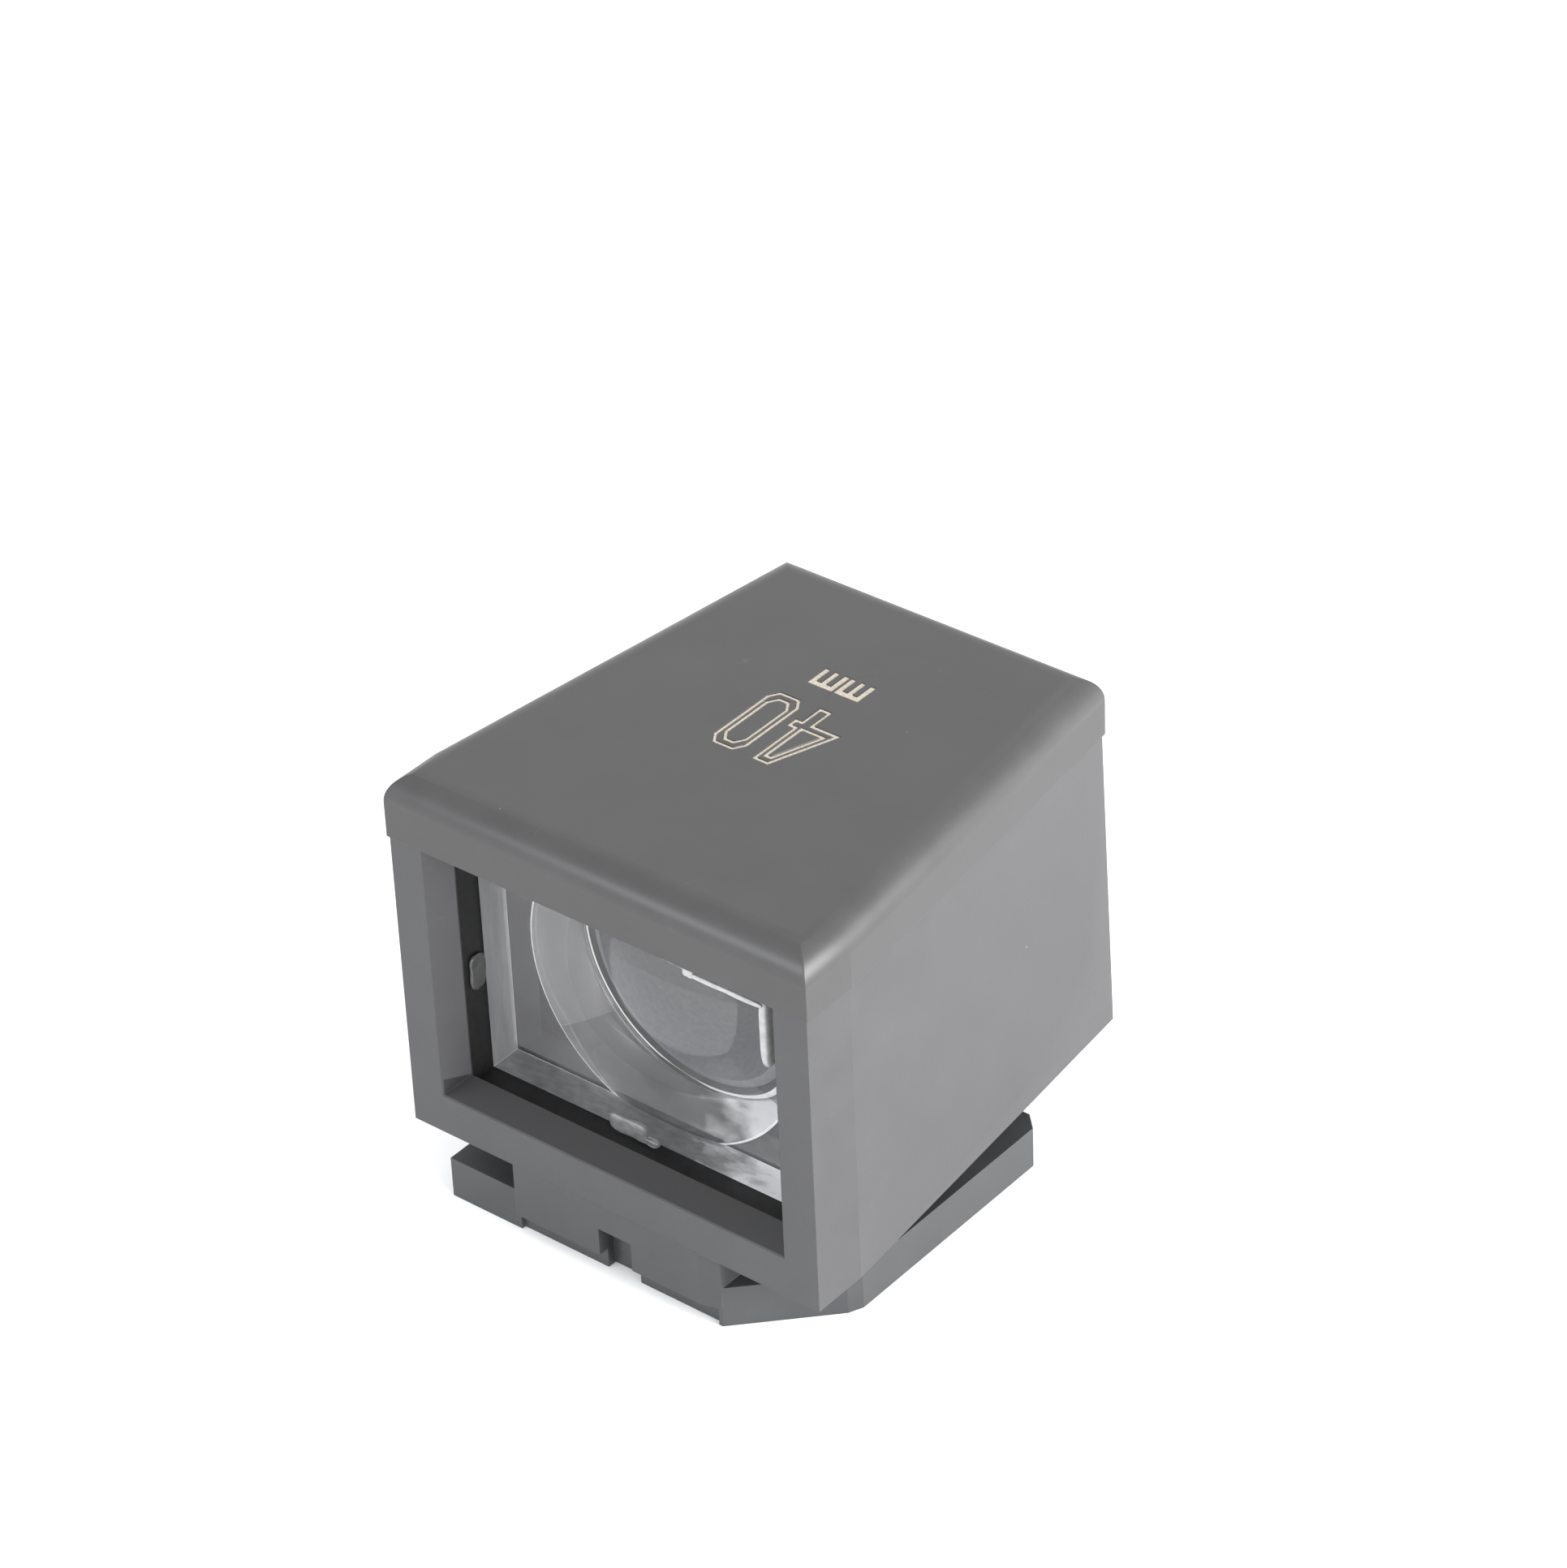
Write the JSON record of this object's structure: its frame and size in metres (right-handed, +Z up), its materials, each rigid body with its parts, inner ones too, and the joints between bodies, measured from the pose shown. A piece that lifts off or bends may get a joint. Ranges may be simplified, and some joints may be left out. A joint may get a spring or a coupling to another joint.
{
  "type": "accessory shoe viewfinder",
  "caption": "Small black plastic optical viewfinder with a bevelled front window, a tapered body, a round rear eyepiece and a flat shoe foot",
  "frame": {"origin": "under the middle of the bounding box, on the resting plane that is the underside of the shoe foot", "axes": "+Z up, -Y towards the front (the objective window), +Y towards the eye, +X to the right seen from the front"},
  "size_m": [0.0218, 0.023, 0.021],
  "materials": {
    "housing_plastic": "satin black moulded plastic with a fine spark-eroded texture",
    "cover_plastic": "satin black moulded plastic, slightly finer grain than the housing",
    "foot_plastic": "satin black hard plastic with light rub marks at its edges",
    "baffle_plastic": "dead matt black against stray light",
    "bond_adhesive": "cured dark adhesive",
    "lens_acrylic": "clear polished acrylic, faces polished, edges as moulded",
    "clear_glue": "cured clear glue, slightly cloudy",
    "screw_steel": "black zinc plated",
    "mark_paint": "warm beige paint fill"
  },
  "bodies": {
    "root": {"housing": "housing_plastic", "top_cover": "cover_plastic", "cover_bond": "bond_adhesive", "objective_frame": "baffle_plastic", "objective_lens": "lens_acrylic", "glue_bead_sill": "clear_glue", "glue_bead_left": "clear_glue", "glue_bead_right": "clear_glue", "aperture_plate": "baffle_plastic", "light_tunnel": "baffle_plastic", "eyepiece_cell": "baffle_plastic", "eyepiece_lens": "lens_acrylic", "eyepiece_ring": "baffle_plastic", "shoe_foot": "foot_plastic", "foot_screw_front": "screw_steel", "foot_screw_rear": "screw_steel", "mark_zero": "mark_paint", "mark_four": "mark_paint", "mark_letter_first": "mark_paint", "mark_letter_second": "mark_paint"}
  },
  "joints": []
}
